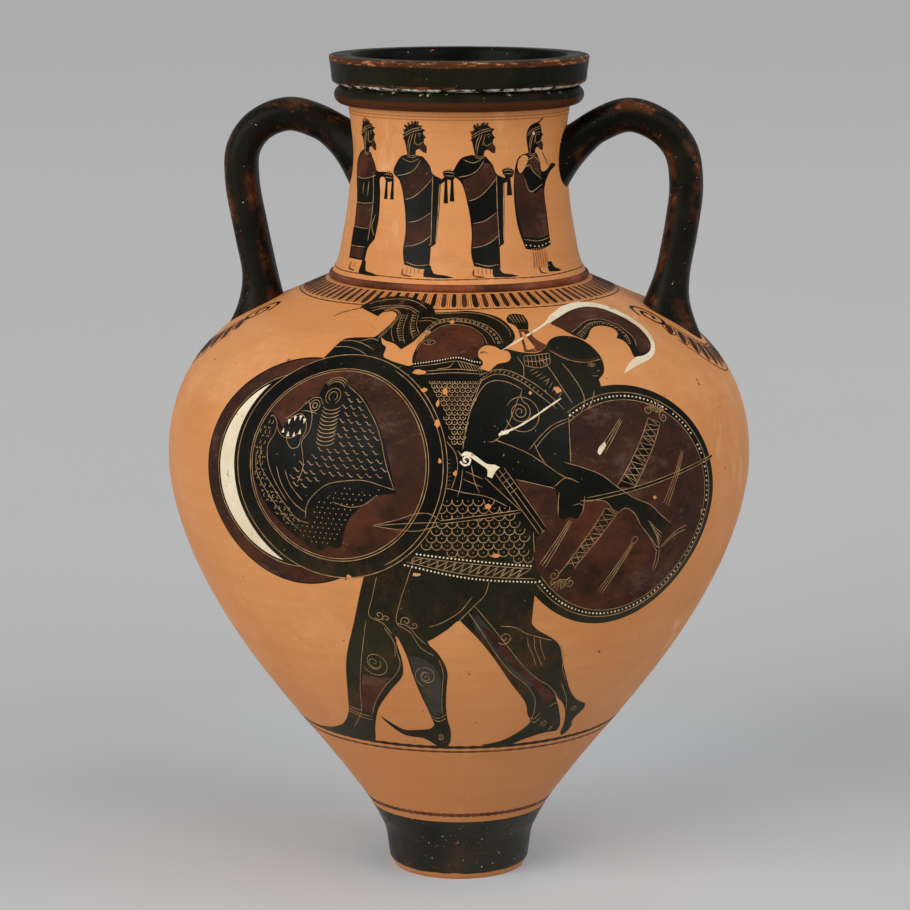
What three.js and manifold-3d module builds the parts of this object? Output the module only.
// Neck-amphora of painted terracotta, standing on its foot.
// Millimetres, +Z up, origin at the centre of the foot's resting face.
// The pot is thrown in sections that are luted together with slip at flat ring-shaped joints:
// foot, lower body, upper body, collar, neck, ring and lip. Two pulled handles join neck to shoulder
// along X. Every section is open to the next one, so the inside is one space with one mouth.

import * as THREE from "three";
import { mergeVertices } from "three/addons/utils/BufferGeometryUtils.js";
import Module from "manifold-3d";

const wasm = await Module();
wasm.setup();

// Heights of the joints between sections
const FOOT_TOP = 24;
const BODY_JOINT = 200;
const SHOULDER_TOP = 330;
const COLLAR_TOP = 334;
const NECK_TOP = 423.5;
const RING_TOP = 434;
const HEIGHT = 450;

// Walls
const WALL = 6;
const FLOOR = 8;
const NECK_WALL = 6;

// Foot: tapered drum with a hollowed underside, standing on a flat ring
const FOOT_REST_RADIUS = 35.5;
const FOOT_TOP_RADIUS = 42.3;
const RECESS_RADIUS = 26;
const RECESS_DEPTH = 13;
const RECESS_ROUNDING = 1;

// Collar, ring and lip
const COLLAR_RADIUS = 70.6;
const RING_CENTRE_RADIUS = 61.5;
const RING_BULGE = 5.8;
const LIP_BORE_RADIUS = 54;

// Handles: rounded strap, thinner in the loop's plane than across it, that spreads at its two roots.
// A root's growth is a share of the strap's size there, and its reach is a share of the strap's length.
const HANDLE_HALF_THICKNESS = 9.1;
const HANDLE_HALF_WIDTH = 12.5;
const HANDLE_SECTION_POWER = 2.4;
const NECK_ROOT = { thicker: 0.5, wider: 0.55, reach: 0.16 };
const SHOULDER_ROOT = { thicker: 1.1, wider: 0.6, reach: 0.22 };
const HANDLE_SIDES = 16;
const HANDLE_STEPS = 28;
const JOINT_GAP = 0.3;

// Turned pieces share one number of sides, so that their joints meet facet to facet
const TURNED_SIDES = 48;

// Outlines below are given as radius and height.

// Outside of the foot, from the resting ring up
const FOOT_OUTLINE = [
  [FOOT_REST_RADIUS, 0],
  [37.6, 4.5],
  [39.2, 12],
  [FOOT_TOP_RADIUS, FOOT_TOP],
];

// Outside of the body wall, from the foot to the collar: a smooth curve
const BODY_OUTLINE = [
  [FOOT_TOP_RADIUS, FOOT_TOP],
  [51.1, 40],
  [73.3, 70],
  [97.3, 100],
  [119.0, 130],
  [136.9, 160],
  [150.1, 190],
  [157.4, 218],
  [158.5, 240],
  [154.5, 263],
  [143.0, 286],
  [121.0, 307],
  [90.0, 322],
  [71.6, SHOULDER_TOP],
];

// Outside of the neck, from the collar to the ring: a smooth curve
const NECK_OUTLINE = [
  [68.5, COLLAR_TOP],
  [65.4, 341.3],
  [62.9, 353.9],
  [60.2, 369.7],
  [58.1, 391.3],
  [57.7, 401.6],
  [58.3, 413],
  [59.8, NECK_TOP],
];

// Lip: undercut outer face up to the flat top, then the mouth down to the bore
const LIP_OUTSIDE = [
  [64.5, RING_TOP],
  [68.3, 436.5],
  [69.1, 443],
  [70, 448.8],
  [68.8, HEIGHT],
];
const LIP_INSIDE = [
  [58.9, HEIGHT],
  [57.4, 448.5],
  [56.2, 442],
  [LIP_BORE_RADIUS, RING_TOP],
];

// Inside of the body's floor, from the wall to the axis
const FLOOR_INSIDE = [
  [34, FOOT_TOP + FLOOR + 2.5],
  [20, FOOT_TOP + FLOOR],
  [0, FOOT_TOP + FLOOR],
];

// Middle line of each handle, as distance from the axis and height, from the neck to the shoulder.
// The two were pulled by hand, so they differ by a few millimetres.
const LEFT_HANDLE_LINE = [
  [47, 390],
  [62.5, 403.7],
  [75.8, 412.8],
  [93, 417.1],
  [109.5, 410.5],
  [118, 398],
  [118.8, 381],
  [114, 353],
  [109.6, 330],
  [107.6, 312],
  [106, 296],
];
const RIGHT_HANDLE_LINE = [
  [46, 388],
  [62, 401.7],
  [75, 412.2],
  [92, 418.2],
  [109, 412],
  [119.4, 400],
  [122.7, 382],
  [120.8, 361],
  [116.2, 334.5],
  [114, 318],
  [113.3, 298],
];

// Levels at which the walls have a ring of vertices
const LOWER_BODY_LEVELS = [FOOT_TOP, 32, 42, 56, 72, 90, 108, 126, 144, 162, 181, BODY_JOINT];
const UPPER_BODY_LEVELS = [BODY_JOINT, 214, 227, 240, 252, 264, 275, 286, 297, 307, 315, 323, SHOULDER_TOP];
const NECK_LEVELS = [COLLAR_TOP, 341, 352, 366, 382, 398, 411, NECK_TOP];

const CLAY = { color: 0xcf8a4e, roughness: 0.55, metalness: 0 };
const BLACK_SLIP = { color: 0x16140f, roughness: 0.35, metalness: 0 };
const PURPLE_SLIP = { color: 0x5a2f2b, roughness: 0.6, metalness: 0 };

// A wall drawn as a smooth curve, sampled finely, with its inner face a wall's thickness behind it.
function makeWall(outline, thickness) {
  const samples = 600;
  const curve = new THREE.SplineCurve(outline.map(([r, z]) => new THREE.Vector2(r, z)));
  const outer = curve.getPoints(samples);
  const inner = outer.map((point, i) => {
    const along = curve.getTangent(i / samples);
    return new THREE.Vector2(point.x - along.y * thickness, point.y + along.x * thickness);
  });
  return { outer, inner };
}

// The radius of a sampled curve at a height, between its first and last points.
function radiusAt(points, z) {
  const last = points.length - 1;
  if (z <= points[0].y) return points[0].x;
  for (let i = 1; i <= last; i += 1) {
    if (z <= points[i].y) {
      const share = (z - points[i - 1].y) / (points[i].y - points[i - 1].y);
      return THREE.MathUtils.lerp(points[i - 1].x, points[i].x, share);
    }
  }
  return points[last].x;
}

function profile(points, levels) {
  return levels.map((z) => new THREE.Vector2(radiusAt(points, z), z));
}

// A turned piece about +Z. The profile runs up the outside and down the inside.
function turned(points, closed) {
  const line = closed ? [...points, points[0].clone()] : points;
  const geometry = new THREE.LatheGeometry(line, TURNED_SIDES);
  geometry.rotateX(Math.PI / 2);
  return geometry;
}

function flat(pairs) {
  return pairs.map(([r, z]) => new THREE.Vector2(r, z));
}

// Points along an ellipse in the profile plane, between two angles.
function arc(centreR, centreZ, halfR, halfZ, startDegrees, endDegrees, steps) {
  const points = [];
  for (let i = 0; i <= steps; i += 1) {
    const angle = THREE.MathUtils.degToRad(THREE.MathUtils.lerp(startDegrees, endDegrees, i / steps));
    points.push(new THREE.Vector2(centreR + halfR * Math.cos(angle), centreZ + halfZ * Math.sin(angle)));
  }
  return points;
}

const bodyWall = makeWall(BODY_OUTLINE, WALL);
const neckWall = makeWall(NECK_OUTLINE, NECK_WALL);
const neckBoreRadius = radiusAt(neckWall.inner, COLLAR_TOP);

function footGeometry() {
  const crown = new THREE.Vector2(0, RECESS_DEPTH);
  const recess = arc(0, 0, RECESS_RADIUS - RECESS_ROUNDING, RECESS_DEPTH, 80, 10, 5);
  const outside = flat([[RECESS_RADIUS, 0], ...FOOT_OUTLINE, [0, FOOT_TOP]]);
  return turned([crown, ...recess, ...outside], false);
}

function lowerBodyGeometry() {
  const outside = profile(bodyWall.outer, LOWER_BODY_LEVELS);
  const insideLevels = LOWER_BODY_LEVELS.filter((z) => z > FOOT_TOP + 2 * FLOOR).reverse();
  const inside = profile(bodyWall.inner, insideLevels);
  const start = new THREE.Vector2(0, FOOT_TOP);
  return turned([start, ...outside, ...inside, ...flat(FLOOR_INSIDE)], false);
}

// The shoulder closes in to the neck's bore, so that the collar and the neck have a flat seat.
function upperBodyGeometry() {
  const outside = profile(bodyWall.outer, UPPER_BODY_LEVELS);
  const seat = flat([
    [neckBoreRadius, SHOULDER_TOP],
    [neckBoreRadius, SHOULDER_TOP - WALL / 2],
  ]);
  const insideLevels = UPPER_BODY_LEVELS.filter((z) => z < SHOULDER_TOP - WALL).reverse();
  return turned([...outside, ...seat, ...profile(bodyWall.inner, insideLevels)], true);
}

function collarGeometry() {
  const middle = (SHOULDER_TOP + COLLAR_TOP) / 2;
  const halfHeight = (COLLAR_TOP - SHOULDER_TOP) / 2;
  const round = arc(COLLAR_RADIUS - halfHeight, middle, halfHeight, halfHeight, -90, 90, 6);
  return turned([...round, ...flat([[neckBoreRadius, COLLAR_TOP], [neckBoreRadius, SHOULDER_TOP]])], true);
}

function neckGeometry() {
  const outside = profile(neckWall.outer, NECK_LEVELS);
  const inside = profile(neckWall.inner, [...NECK_LEVELS].reverse());
  return turned([...outside, ...inside], true);
}

function ringGeometry() {
  const middle = (NECK_TOP + RING_TOP) / 2;
  const halfHeight = (RING_TOP - NECK_TOP) / 2;
  const round = arc(RING_CENTRE_RADIUS, middle, RING_BULGE, halfHeight, -90, 90, 8);
  return turned([...round, ...flat([[LIP_BORE_RADIUS, RING_TOP], [LIP_BORE_RADIUS, NECK_TOP]])], true);
}

function lipGeometry() {
  return turned(flat([...LIP_OUTSIDE, ...LIP_INSIDE]), true);
}

function toSolid(geometry) {
  const bare = geometry.clone();
  bare.deleteAttribute("normal");
  bare.deleteAttribute("uv");
  const merged = mergeVertices(bare, 1e-4);
  const vertProperties = new Float32Array(merged.attributes.position.array);
  const triVerts = new Uint32Array(merged.index.array);
  return new wasm.Manifold(new wasm.Mesh({ numProp: 3, vertProperties, triVerts }));
}

function fromSolid(solid) {
  const mesh = solid.getMesh();
  const geometry = new THREE.BufferGeometry();
  geometry.setAttribute("position", new THREE.BufferAttribute(mesh.vertProperties, 3));
  geometry.setIndex(new THREE.BufferAttribute(mesh.triVerts, 1));
  geometry.computeVertexNormals();
  return geometry;
}

// The pot's outside grown by the joint gap and filled, to trim the handles' roots.
function rootTrimmer(points, levels) {
  const grown = profile(points, levels).map((point) => new THREE.Vector2(point.x + JOINT_GAP, point.y));
  const bottom = new THREE.Vector2(0, levels[0]);
  const top = new THREE.Vector2(0, levels[levels.length - 1]);
  return toSolid(turned([bottom, ...grown, top], false));
}

// How near a place on the strap is to one of its roots, from 0 at the root's reach to 1 at its end.
function closeness(distance, { reach }) {
  return Math.max(0, 1 - distance / reach) ** 2;
}

// A closed cylinder is bent along the middle line and given a rounded strap section.
function strapGeometry(line, side) {
  const path = new THREE.CatmullRomCurve3(
    line.map(([x, z]) => new THREE.Vector3(side * x, 0, z)),
    false,
    "centripetal",
  );
  const geometry = new THREE.CylinderGeometry(1, 1, 1, HANDLE_SIDES, HANDLE_STEPS);
  const position = geometry.attributes.position;
  const across = new THREE.Vector3(0, 1, 0);
  for (let i = 0; i < position.count; i += 1) {
    const [x, y, z] = [position.getX(i), position.getY(i), position.getZ(i)];
    const share = y + 0.5;
    const power = HANDLE_SECTION_POWER;
    const size = (Math.abs(x) ** power + Math.abs(z) ** power) ** (1 / power);
    const corner = size > 0.5 ? 1 / size : 0;
    const atNeck = closeness(share, NECK_ROOT);
    const atShoulder = closeness(1 - share, SHOULDER_ROOT);
    const thickness = 1 + atNeck * NECK_ROOT.thicker + atShoulder * SHOULDER_ROOT.thicker;
    const width = 1 + atNeck * NECK_ROOT.wider + atShoulder * SHOULDER_ROOT.wider;
    const outwards = path.getTangentAt(share).cross(across).normalize();
    const point = path.getPointAt(share);
    point.addScaledVector(outwards, x * corner * thickness * HANDLE_HALF_THICKNESS);
    point.addScaledVector(across, z * corner * width * HANDLE_HALF_WIDTH);
    position.setXYZ(i, point.x, point.y, point.z);
  }
  return geometry;
}

function handleGeometry(line, side) {
  const strap = toSolid(strapGeometry(line, side));
  const shoulder = rootTrimmer(bodyWall.outer, UPPER_BODY_LEVELS);
  const neck = rootTrimmer(neckWall.outer, NECK_LEVELS);
  return fromSolid(strap.subtract(shoulder).subtract(neck));
}

const amphora = new THREE.Group();

function addPiece(name, geometry, finish) {
  const mesh = new THREE.Mesh(geometry, new THREE.MeshStandardMaterial(finish));
  mesh.name = name;
  amphora.add(mesh);
}

addPiece("foot", footGeometry(), BLACK_SLIP);
addPiece("body_lower", lowerBodyGeometry(), CLAY);
addPiece("body_upper", upperBodyGeometry(), CLAY);
addPiece("neck_collar", collarGeometry(), PURPLE_SLIP);
addPiece("neck", neckGeometry(), CLAY);
addPiece("lip_ring", ringGeometry(), BLACK_SLIP);
addPiece("lip", lipGeometry(), BLACK_SLIP);
addPiece("handle_left", handleGeometry(LEFT_HANDLE_LINE, -1), BLACK_SLIP);
addPiece("handle_right", handleGeometry(RIGHT_HANDLE_LINE, 1), BLACK_SLIP);

export default amphora;
